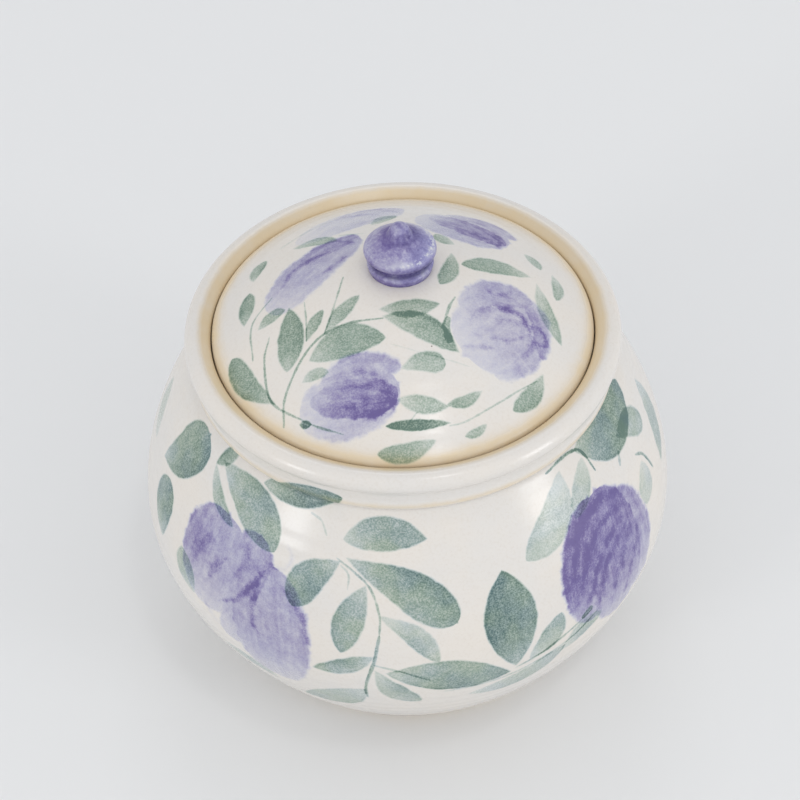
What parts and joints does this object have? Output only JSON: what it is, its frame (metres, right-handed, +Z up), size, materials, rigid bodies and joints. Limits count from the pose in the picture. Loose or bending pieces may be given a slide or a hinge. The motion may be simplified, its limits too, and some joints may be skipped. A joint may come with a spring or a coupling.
{
  "type": "lidded butter crock",
  "caption": "Round-bellied stoneware crock with a rolled lip and a domed, knobbed lid that drops into a gallery; keeps butter or other soft food covered at the table.",
  "frame": {"origin": "centre of the foot ring on the table plane, the middle of the bounding box's bottom face", "axes": "+Z up along the axis that the crock and its lid are thrown about; the painting's front faces -Y"},
  "size_m": [0.15, 0.15, 0.1496],
  "materials": {
    "crock_glaze": "gloss",
    "lid_glaze": "gloss",
    "knob_glaze": "gloss"
  },
  "bodies": {
    "crock": {"crock_body": "crock_glaze"},
    "lid": {"lid": "lid_glaze", "lid_knob": "knob_glaze"}
  },
  "joints": [
    {"name": "lid_lift", "type": "slide", "parent": "crock", "child": "lid", "axis": [0, 0, 1], "range_m": [0, 0.1]}
  ]
}
